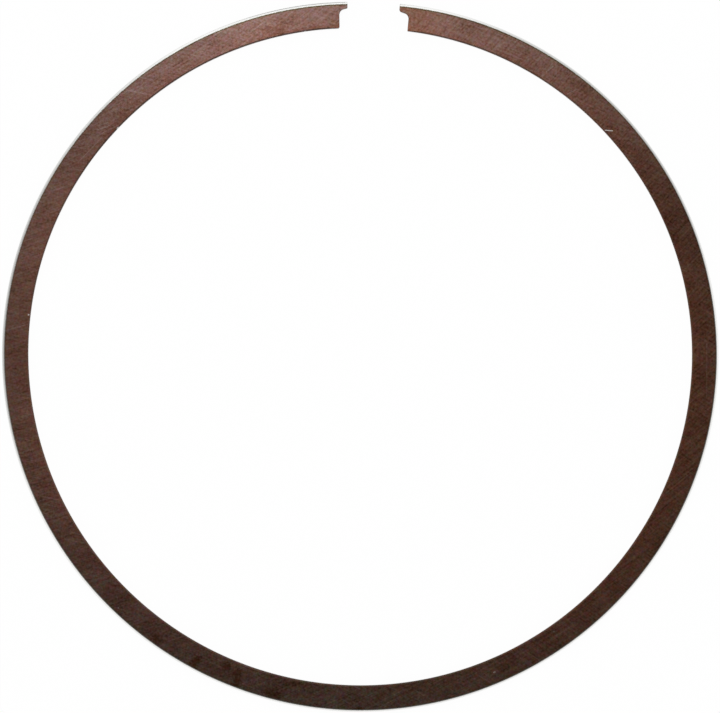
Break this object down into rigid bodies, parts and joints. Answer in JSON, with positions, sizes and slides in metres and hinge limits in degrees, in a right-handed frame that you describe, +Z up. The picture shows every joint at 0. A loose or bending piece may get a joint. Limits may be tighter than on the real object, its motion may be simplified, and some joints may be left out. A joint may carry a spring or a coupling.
{
  "type": "piston ring",
  "caption": "Thin split steel ring with a plated running face, brown coated sides and a pin notch in each end, lying open and flat.",
  "frame": {"origin": "middle of the free outline, on the plane of the lower side face", "axes": "+Z up, square to the side faces and along the cylinder's axis in use; +Y from the origin to the gap; +X to the right of the gap seen from above"},
  "size_m": [0.0682, 0.0674, 0.001],
  "materials": {
    "coated_steel": "thin brown conversion coating over ground steel, satin"
  },
  "bodies": {
    "root": {"piston_ring": "coated_steel"}
  },
  "joints": []
}
